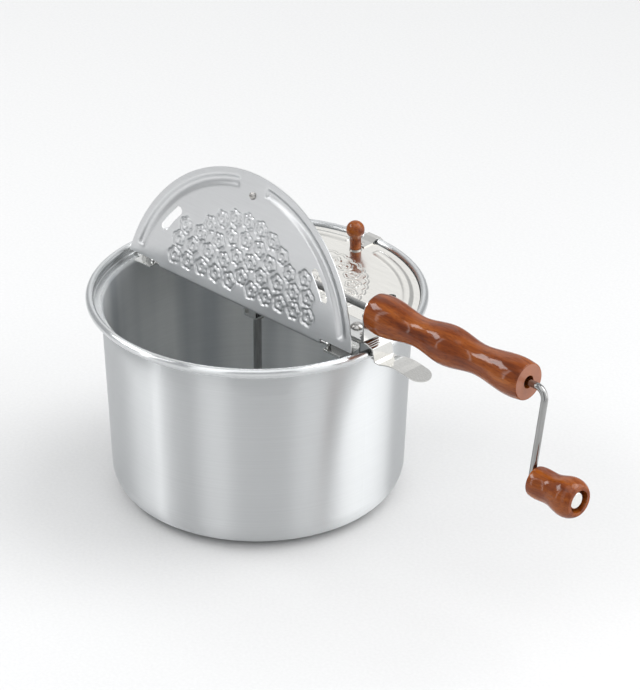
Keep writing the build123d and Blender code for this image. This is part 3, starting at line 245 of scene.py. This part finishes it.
def turned_aluminium(name, dark, pale, roughness, ring_mm):
    """Aluminium with fine marks that run round the upright axis."""
    material, tree, shader = new_material(name, {"Metallic": 1.0, "Anisotropic": 1.0,
                                                 "Anisotropic Rotation": 0.25})
    rings = object_noise(tree, (6, 6, 1 / (ring_mm * MM)), 1.0, detail=4.0)
    tone = ramp(tree, rings.outputs["Fac"], [(0.3, linear(dark)), (0.7, linear(pale))])
    face = add_node(tree, "ShaderNodeNewGeometry")
    # faces that look toward the axis are the inside of the pot, which stays more matt
    flat = add_node(tree, "ShaderNodeVectorMath", {"operation": "MULTIPLY", 1: (1, 1, 0)},
                    {0: face.outputs["Position"]})
    outward = add_node(tree, "ShaderNodeVectorMath", {"operation": "DOT_PRODUCT"},
                       {0: flat.outputs["Vector"], 1: face.outputs["Normal"]})
    height = add_node(tree, "ShaderNodeSeparateXYZ", links={"Vector": face.outputs["Position"]})
    rim = add_node(tree, "ShaderNodeMapRange", {"From Min": RIM_FOOT, "From Max": RIM_FOOT + RIM_BLEND},
                   {"Value": height.outputs["Z"]})
    inward = add_node(tree, "ShaderNodeMath", {"operation": "LESS_THAN", 1: 0.01},
                      {0: outward.outputs["Value"]})
    inside = add_node(tree, "ShaderNodeMath", {"operation": "SUBTRACT", "use_clamp": True},
                      {0: inward.outputs["Value"], 1: rim.outputs["Result"]})
    sheen = add_node(tree, "ShaderNodeMapRange", {"To Min": 1.0, "To Max": 0.5},
                     {"Value": inside.outputs["Value"]})
    tree.links.new(sheen.outputs["Result"], shader.inputs["Metallic"])
    # painted reflection: soft upright bands 20 to 60 mm wide on the inside, lighter and darker, stand in for
    # the room mirrored in its wall
    painted_band_noise = object_noise(tree, (1, 1, 0), 24.0, detail=2.5)
    painted_band_tone = ramp(tree, painted_band_noise.outputs["Fac"], [(0.36, (0.86, 0.88, 0.90, 1)), (0.60, (1.34, 1.33, 1.31, 1))])
    painted_band_colour = add_node(tree, "ShaderNodeMix", {"data_type": "RGBA", "blend_type": "MULTIPLY"})
    tree.links.new(inside.outputs["Value"], painted_band_colour.inputs[0])
    tree.links.new(tone.outputs["Color"], painted_band_colour.inputs[6])
    tree.links.new(painted_band_tone.outputs["Color"], painted_band_colour.inputs[7])
    tree.links.new(painted_band_colour.outputs[2], shader.inputs["Base Color"])
    wear = spread(tree, rings.outputs["Fac"], roughness - 0.05, roughness + 0.05)
    smooth_rim = add_node(tree, "ShaderNodeMapRange", {"To Min": 1.0, "To Max": RIM_SMOOTHING},
                          {"Value": rim.outputs["Result"]})
    gloss = add_node(tree, "ShaderNodeMath", {"operation": "MULTIPLY"},
                     {0: wear.outputs["Result"], 1: smooth_rim.outputs["Result"]})
    tree.links.new(gloss.outputs["Value"], shader.inputs["Roughness"])
    around = add_node(tree, "ShaderNodeTangent", {"direction_type": "RADIAL", "axis": "Z"})
    tree.links.new(around.outputs["Tangent"], shader.inputs["Tangent"])
    relief = add_node(tree, "ShaderNodeBump", {"Strength": 0.02, "Distance": 0.0001},
                      {"Height": rings.outputs["Fac"]})
    tree.links.new(relief.outputs["Normal"], shader.inputs["Normal"])
    print("material", name)
    return material


pot_finish = turned_aluminium("brushed_aluminium", "#d6d8d9", "#dcdedf", 0.45, 0.6)

# %% [markdown]
# ## Pressed aluminium sheet
# The lids are stamped from bright rolled sheet. The roll leaves a faint grain, and pressing leaves
# the surface very slightly wavy, which is what bends the reflections in it.


# %% Rolled sheet
def rolled_sheet(name, dark, pale, roughness, wave, grain=(400, 1600, 400)):
    """Bright rolled sheet: fine grain one way, and a slow waviness in its reflections."""
    material, tree, shader = new_material(name, {"Metallic": 1.0})
    lines = object_noise(tree, grain, 1.0, detail=3.0)
    tone = ramp(tree, lines.outputs["Fac"], [(0.3, linear(dark)), (0.7, linear(pale))])
    tree.links.new(tone.outputs["Color"], shader.inputs["Base Color"])
    wear = spread(tree, lines.outputs["Fac"], roughness - 0.015, roughness + 0.015)
    tree.links.new(wear.outputs["Result"], shader.inputs["Roughness"])
    slow = object_noise(tree, (1, 1, 1), 45.0, detail=1.0)
    relief = add_node(tree, "ShaderNodeBump", {"Strength": wave, "Distance": 0.001},
                      {"Height": slow.outputs["Fac"]})
    tree.links.new(relief.outputs["Normal"], shader.inputs["Normal"])
    print("material", name)
    return material


# both lids are the same sheet: the raised lid's darker colour is painted shade and the closed lid's paler
# colour is painted light
raised_lid_finish = rolled_sheet("satin_rolled_aluminium_painted_shade", "#cfd0d1", "#d3d4d5", 0.30, 0.012, (40, 900, 900))
closed_lid_finish = rolled_sheet("rolled_aluminium_painted_light", "#e3e1dc", "#e9e7e2", 0.22, 0.012, (40, 900, 900))
bridge_finish = rolled_sheet("zinc_plated_steel_sheet", "#c9cac9", "#d3d3d1", 0.20, 0.012, (40, 900, 900))
clip_finish = rolled_sheet("bright_spring_steel", "#c2c1be", "#cccbc8", 0.10, 0.01)
wire_finish = rolled_sheet("bright_drawn_wire", "#969695", "#a4a4a3", 0.10, 0.0, (1200, 60, 60))
fastener_finish = rolled_sheet("plain_turned_steel", "#b0aeab", "#c2c0bd", 0.28, 0.0, (900, 900, 900))
gear_finish = rolled_sheet("sintered_gear_steel", "#8f8d89", "#a5a29d", 0.42, 0.0, (1500, 1500, 1500))
cap_finish = rolled_sheet("nickel_plated_cap", "#e6e5e2", "#f0efec", 0.10, 0.0, (700, 700, 700))
bush_finish = rolled_sheet("plain_brass", "#b8985a", "#cbab6b", 0.30, 0.0, (900, 900, 900))

# %% [markdown]
# ## Lacquered hardwood
# The handle and the knobs are turned from beech, stained red-brown and dipped in clear lacquer. The
# grain runs along each piece. Two scales show: slow streaks a few millimetres wide, and short dark
# pores. The lacquer is a thin clear coat over them, so highlights are pale and fairly sharp.


# %% Stained beech
def stained_beech(name, turn, painted_end_glare=False):
    """Beech stained red-brown under clear lacquer; turn brings the piece's length onto X."""
    material, tree, shader = new_material(name, {"Roughness": 0.5, "Specular IOR Level": 0.0,
                                                 "Coat Weight": 0.7, "Coat Roughness": 0.12,
                                                 "Coat IOR": 1.5})
    streaks = object_noise(tree, (14, 150, 150), 1.0, detail=4.0, turn=turn)
    tone = ramp(tree, streaks.outputs["Fac"],
                [(0.25, linear("#55230b")), (0.43, linear("#783811")), (0.60, linear("#924d1b")),
                 (0.8, linear("#ab652b"))])
    pores = object_noise(tree, (90, 1500, 1500), 1.0, detail=2.0, turn=turn)
    dark = ramp(tree, pores.outputs["Fac"], [(0.36, (0.55, 0.5, 0.48, 1)), (0.5, (1, 1, 1, 1))])
    colour = add_node(tree, "ShaderNodeMix", {"data_type": "RGBA", "blend_type": "MULTIPLY"})
    colour.inputs[0].default_value = 0.6
    tree.links.new(tone.outputs["Color"], colour.inputs[6])
    tree.links.new(dark.outputs["Color"], colour.inputs[7])
    shown = colour
    if painted_end_glare:
        # painted reflection: the end face across the grain is coloured paler and pinker to stand in for the
        # white glare its lacquer mirrors
        face = add_node(tree, "ShaderNodeNewGeometry")
        side = add_node(tree, "ShaderNodeSeparateXYZ", links={"Vector": face.outputs["Normal"]})
        across = add_node(tree, "ShaderNodeMapRange", {"From Min": 0.93, "From Max": 0.985, "To Max": 0.75},
                          {"Value": side.outputs["X"]})
        shown = add_node(tree, "ShaderNodeMix", {"data_type": "RGBA"})
        shown.inputs[7].default_value = linear("#a87560")
        tree.links.new(across.outputs["Result"], shown.inputs[0])
        tree.links.new(colour.outputs[2], shown.inputs[6])
    tree.links.new(shown.outputs[2], shader.inputs["Base Color"])
    relief = add_node(tree, "ShaderNodeBump", {"Strength": 0.12, "Distance": 0.0003},
                      {"Height": pores.outputs["Fac"]})
    tree.links.new(relief.outputs["Normal"], shader.inputs["Normal"])
    # the dipped coat is not quite even, so its highlights break into patches 5 to 15 mm long
    runs = object_noise(tree, (60, 110, 110), 1.0, detail=1.5, turn=turn)
    swell = add_node(tree, "ShaderNodeBump", {"Strength": 0.5, "Distance": 0.0014},
                     {"Height": runs.outputs["Fac"]})
    tree.links.new(swell.outputs["Normal"], shader.inputs["Coat Normal"])
    print("material", name)
    return material


handle_wood = stained_beech("stained_beech_along_handle", (0, 0, 0), painted_end_glare=True)
crank_knob_wood = stained_beech("stained_beech_along_crank_knob", (0, 0, 0))
front_knob_wood = stained_beech("stained_beech_along_raised_knob", (0, 0, math.radians(90)))
rear_knob_wood = stained_beech("stained_beech_along_standing_knob", (0, math.radians(90), 0))

# %% Materials on the frame's nodes
FINISHES = {
    "pot": pot_finish, "front_lid": raised_lid_finish, "rear_lid": closed_lid_finish,
    "bridge": bridge_finish, "gear_bracket": bridge_finish, "shaft_strap": bridge_finish,
    "handle_bracket": bridge_finish, "clip_root": clip_finish, "release_clip": clip_finish,
    "rim_clip": clip_finish, "front_hinge_wire": wire_finish, "rear_hinge_wire": wire_finish,
    "crank_rod": wire_finish, "stir_shaft": wire_finish, "stirrer_wire": wire_finish,
    "handle": handle_wood, "crank_knob": crank_knob_wood, "front_lid_knob": front_knob_wood,
    "rear_lid_knob": rear_knob_wood, "cap_nut": cap_finish, "rod_bushes": bush_finish,
    "crank_gear": gear_finish, "stir_gear": gear_finish, "rod_collar": gear_finish,
    "shaft_ring": gear_finish, "stirrer_hub": gear_finish}
for node_name in nodes:
    dress(node_name, FINISHES.get(node_name, fastener_finish))
    bpy.ops.object.select_all(action="DESELECT")
print("dressed", len(nodes), "nodes")

# %% [markdown]
# ## The two half lids
# Each lid is one pressed sheet: half a disc with a raised ridge round its edge, two curved vents, a
# field of pressed ornament, and a hinge edge rolled round a wire. A flat grid bent into half rings has
# edges that follow the ridge, so it is the best start. Its vents are cut, its height is pressed in
# vertex by vertex, and it gets its thickness last, so both faces carry the same shape.

# %% Sizes of the lids
LID_RADIUS = 116.4 * MM
LID_SHIFT = 1.35 * MM
LID_SHEET = 0.8 * MM
LID_UNDER = 151.4 * MM
HINGE_Y = 19.2 * MM
ROLL_RADIUS = 2.2 * MM
ROLL_HALF = 83.15 * MM
HINGE_Z = LID_UNDER + ROLL_RADIUS
CUT_Y = HINGE_Y + 1.8 * MM             # the round part of a lid starts here
OPEN_ANGLE = 101.2
CLOSED_TILT = 1.0
RIDGE_FOOT_IN = LID_RADIUS - 14.0 * MM
RIDGE_TOP_IN = LID_RADIUS - 9.4 * MM
RIDGE_TOP_OUT = LID_RADIUS - 8.2 * MM
RIDGE_FOOT_OUT = LID_RADIUS - 4.2 * MM
RIDGE_HEIGHT = 1.4 * MM
RIDGE_START = math.radians(15.5)
RIDGE_END = math.radians(82.5)
RIDGE_SOFT = math.radians(0.9)         # half the turn over which a ridge sinks into the sheet
VENT_RADIUS = LID_RADIUS - 20.5 * MM
VENT_HALF = 3.3 * MM
VENT_START = math.radians(31.4)
VENT_END = math.radians(43.1)
print("lid radius", LID_RADIUS, "hinge line at", HINGE_Y, HINGE_Z)


# %% Selecting and finishing
def only(piece):
    """Selects one object and nothing else."""
    bpy.ops.object.select_all(action="DESELECT")
    piece.select_set(True)
    bpy.context.view_layer.objects.active = piece


def apply_modifier(piece, name, kind, settings):
    """Adds a modifier to a piece and applies it."""
    modifier = piece.modifiers.new(name, kind)
    for key, value in settings.items():
        setattr(modifier, key, value)
    only(piece)
    bpy.ops.object.modifier_apply(modifier=name)


def smooth(piece, degrees=35):
    """Smooth shading that keeps edges sharper than the angle."""
    only(piece)
    bpy.ops.object.shade_smooth_by_angle(angle=math.radians(degrees))
    bpy.ops.object.select_all(action="DESELECT")


def rise(value, low, high):
    """0 below low, 1 above high, and a soft S between them."""
    share = np.clip((value - low) / (high - low), 0.0, 1.0)
    return share * share * (3 - 2 * share)


# %% The ridge
def ridge_height(across, up):
    """The raised ridge: two arcs, each a flat-topped bank with soft ends."""
    reach = np.hypot(across, up)
    turn = np.arctan2(up, np.abs(across))
    bank = rise(reach, RIDGE_FOOT_IN, RIDGE_TOP_IN) * (1 - rise(reach, RIDGE_TOP_OUT, RIDGE_FOOT_OUT))
    ends = rise(turn, RIDGE_START - RIDGE_SOFT, RIDGE_START + RIDGE_SOFT)
    ends *= 1 - rise(turn, RIDGE_END - RIDGE_SOFT, RIDGE_END + RIDGE_SOFT)
    return RIDGE_HEIGHT * bank * ends


# %% Pressed lines and flowers
LINE_HALF = 0.95 * MM
FIELD_HALF = 75.0 * MM                 # flowers with their hearts inside this half oval are kept,
FIELD_TOP = 58.0 * MM                  # which leaves the sheet bare round the knob's screw


def line(distance):
    """A raised line of soft section, by the distance from its middle."""
    return np.exp(-(distance / LINE_HALF) ** 2)


def flowers(across, up, ring, spacing, radius, petals):
    """A half ring of pressed flowers, each an outline of round petals about a small heart."""
    count = round(math.pi * ring / spacing)
    index = np.clip(np.floor(np.arctan2(up, across) / math.pi * count), 0, count - 1)
    middle = (index + 0.5) * math.pi / count
    heart_across, heart_up = ring * np.cos(middle), ring * np.sin(middle)
    away, over = across - heart_across, up - heart_up
    out = np.hypot(away, over)
    way = np.arctan2(over, away) - middle
    edge = radius * (0.80 + 0.22 * np.abs(np.cos(0.5 * petals * way)))
    pressed = line(out - edge) + 0.9 * line(out - 0.2 * radius)
    kept = np.hypot(heart_across / FIELD_HALF, heart_up / FIELD_TOP) < 1
    return np.where(kept, pressed, 0.0)


# %% The two ornaments
PRESS_DEPTH = 0.8 * MM
FLOWER_RINGS = (13.0, 27.0, 41.0, 55.0, 69.0)   # mm from the middle of the hinge edge
FLOWER_SPACING = 13.8 * MM
FLOWER_RADIUS = 6.0 * MM
SCALLOPED_LINES = (22.0, 58.0)         # mm, as above
SCALLOP_LENGTH = 9.0                   # mm along the line
SCALLOP_DEPTH = 1.6 * MM
CLOSED_SHARE = 0.9                     # the closed lid is pressed a little less deeply


def flower_field(across, up):
    """Flowers in half rings round the middle of the hinge edge, for the raised lid."""
    height = 0.0
    for number, ring in enumerate(FLOWER_RINGS):
        petals = 5 + number % 2
        height = np.maximum(height, flowers(across, up, ring * MM, FLOWER_SPACING, FLOWER_RADIUS, petals))
    return PRESS_DEPTH * height


def scalloped_field(across, up):
    """Two half rings of flowers between scalloped lines, for the closed lid."""
    reach, turn = np.hypot(across, up), np.arctan2(up, across)
    height = flowers(across, up, 33.0 * MM, 15.0 * MM, 6.0 * MM, 6)
    height = np.maximum(height, flowers(across, up, 49.0 * MM, 14.0 * MM, 5.2 * MM, 5))
    for ring in SCALLOPED_LINES:
        waves = round(math.pi * ring / SCALLOP_LENGTH)
        edge = ring * MM + SCALLOP_DEPTH * np.abs(np.cos(waves * turn))
        height = np.maximum(height, line(reach - edge))
    return CLOSED_SHARE * PRESS_DEPTH * height


# %% Cutting the vents
VENT_REACH = 1.2 * MM                  # cut vertices this near the outline are drawn onto it


def vent_gap(across, up):
    """Distance from a vent's outline, negative inside the vent."""
    reach = math.hypot(across, up)
    turn = math.atan2(up, abs(across))
    if VENT_START <= turn <= VENT_END:
        return abs(reach - VENT_RADIUS) - VENT_HALF
    end = VENT_START if turn < VENT_START else VENT_END
    far = math.hypot(abs(across) - VENT_RADIUS * math.cos(end), up - VENT_RADIUS * math.sin(end))
    return far - VENT_HALF


def cut_vents(mesh):
    """Removes the faces inside the vents and draws the cut edge onto the outline."""
    work = bmesh.new()
    work.from_mesh(mesh)
    inside = [f for f in work.faces if vent_gap(*f.calc_center_median()[:2]) < 0]
    bmesh.ops.delete(work, geom=inside, context="FACES")
    tiny = 0.01 * MM
    for vertex in work.verts:
        gap = vent_gap(vertex.co.x, vertex.co.y)
        if vertex.is_boundary and abs(gap) < VENT_REACH:
            slope_x = (vent_gap(vertex.co.x + tiny, vertex.co.y) - gap) / tiny
            slope_y = (vent_gap(vertex.co.x, vertex.co.y + tiny) - gap) / tiny
            vertex.co.x -= gap * slope_x
            vertex.co.y -= gap * slope_y
    work.to_mesh(mesh)
    work.free()
    return len(inside)


# %% One lid, laid flat
FINE_STEP = 0.62 * MM                  # rings this close carry the ornament
COARSE_STEP = 0.882 * MM               # and these, from 97 mm out, the ridge and the edge
RING_PLACES = ([i * FINE_STEP for i in range(31, 155)]
               + [97.0 * MM + i * COARSE_STEP for i in range(22)])
TURN_STEPS = 350


def flat_lid(name, field, field_foot):
    """Half a lid lying flat with its hinge line along X, its own middle at the origin."""
    places = np.array([r for r in RING_PLACES if r < LID_RADIUS] + [LID_RADIUS])
    bpy.ops.object.select_all(action="DESELECT")
    bpy.ops.mesh.primitive_grid_add(x_subdivisions=len(places) - 1, y_subdivisions=TURN_STEPS, size=1)
    lid = bpy.context.object
    lid.name = name
    mesh = lid.data
    flat = np.empty(3 * len(mesh.vertices))
    mesh.vertices.foreach_get("co", flat)
    flat = flat.reshape(-1, 3)
    reach = places[np.rint((flat[:, 0] + 0.5) * (len(places) - 1)).astype(int)]
    turn = (flat[:, 1] + 0.5) * math.pi
    flat[:, 0], flat[:, 1] = reach * np.cos(turn), reach * np.sin(turn)
    mesh.vertices.foreach_set("co", flat.ravel())
    bpy.ops.object.mode_set(mode="EDIT")
    for place, normal, clear in (((0, HINGE_Y, 0), (0, 1, 0), True),
                                 ((0, CUT_Y, 0), (0, 1, 0), False),
                                 ((ROLL_HALF, 0, 0), (1, 0, 0), False),
                                 ((-ROLL_HALF, 0, 0), (1, 0, 0), False)):
        bpy.ops.mesh.select_all(action="SELECT")
        bpy.ops.mesh.bisect(plane_co=place, plane_no=normal, clear_inner=clear)
    bpy.ops.object.mode_set(mode="OBJECT")
    work = bmesh.new()
    work.from_mesh(mesh)
    corner = [f for f in work.faces
              if f.calc_center_median().y < CUT_Y and abs(f.calc_center_median().x) > ROLL_HALF]
    bmesh.ops.delete(work, geom=corner, context="FACES")
    bmesh.ops.recalc_face_normals(work, faces=work.faces)
    if next(iter(work.faces)).normal.z < 0:
        bmesh.ops.reverse_faces(work, faces=work.faces)
    work.to_mesh(mesh)
    work.free()
    holes = cut_vents(mesh)
    flat = np.empty(3 * len(mesh.vertices))
    mesh.vertices.foreach_get("co", flat)
    flat = flat.reshape(-1, 3)
    across, up = flat[:, 0], flat[:, 1]
    pressed = np.where(up > field_foot, field(across, up - field_foot), 0.0)
    flat[:, 2] = LID_UNDER + ridge_height(across, up) + pressed
    mesh.vertices.foreach_set("co", flat.ravel())
    mesh.update()
    print(name, "faces", len(mesh.polygons), "cut away", holes)
    return lid


def rolled_edge(name):
    """The hinge edge: sheet rolled nearly full circle round the wire."""
    bpy.ops.object.select_all(action="DESELECT")
    bpy.ops.mesh.primitive_circle_add(vertices=36, radius=ROLL_RADIUS - LID_SHEET / 2)
    roll = bpy.context.object
    roll.name = name
    roll.data.transform(Matrix.Translation((-ROLL_HALF, HINGE_Y, HINGE_Z))
                        @ Matrix.Rotation(math.radians(90), 4, "Y"))
    work = bmesh.new()
    work.from_mesh(roll.data)
    # the roll stays open where it meets the sheet
    gap = [v for v in work.verts
           if v.co.y > HINGE_Y + 1.2 * MM and abs(v.co.z - HINGE_Z + 0.5 * MM) < 0.5 * MM]
    bmesh.ops.delete(work, geom=gap, context="VERTS")
    work.to_mesh(roll.data)
    work.free()
    only(roll)
    bpy.ops.object.mode_set(mode="EDIT")
    bpy.ops.mesh.select_all(action="SELECT")
    bpy.ops.mesh.extrude_region_move(TRANSFORM_OT_translate={"value": (2 * ROLL_HALF, 0, 0)})
    bpy.ops.mesh.select_all(action="SELECT")
    bpy.ops.mesh.normals_make_consistent(inside=False)
    bpy.ops.object.mode_set(mode="OBJECT")
    apply_modifier(roll, "wall", "SOLIDIFY", {"thickness": LID_SHEET * 0.98, "offset": 0.0})
    return roll


# %% Raise one lid and close the other
def make_lid(name, side, turn, field, field_foot, finish, body, node_name):
    """A finished lid on its side of the bridge, turned about its hinge line."""
    lid = flat_lid(name, field, field_foot)
    apply_modifier(lid, "thickness", "SOLIDIFY", {"thickness": LID_SHEET, "offset": 1.0})
    roll = rolled_edge(name + "_roll")
    only(lid)
    roll.select_set(True)
    bpy.ops.object.join()
    mesh = lid.data
    mesh.transform(Matrix.Translation((LID_SHIFT, 0, 0)))
    if side < 0:
        mesh.transform(Matrix.Scale(-1, 4, (0, 1, 0)))
        mesh.flip_normals()
    hinge = Vector((0, side * HINGE_Y, HINGE_Z))
    mesh.transform(Matrix.Translation(hinge) @ Matrix.Rotation(math.radians(turn), 4, "X")
                   @ Matrix.Translation(-hinge))
    smooth(lid, 40)
    mesh.materials.append(finish)
    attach(lid, body)
    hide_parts(node_name)
    print(name, "triangles", sum(len(p.vertices) - 2 for p in mesh.polygons))
    return lid


raised_lid = make_lid("raised_lid", -1, -OPEN_ANGLE, flower_field, HINGE_Y + 6 * MM, raised_lid_finish,
                      "front_lid_set", "front_lid")
closed_lid = make_lid("closed_lid", 1, CLOSED_TILT, scalloped_field, HINGE_Y + 8 * MM, closed_lid_finish,
                      "rear_lid_set", "rear_lid")
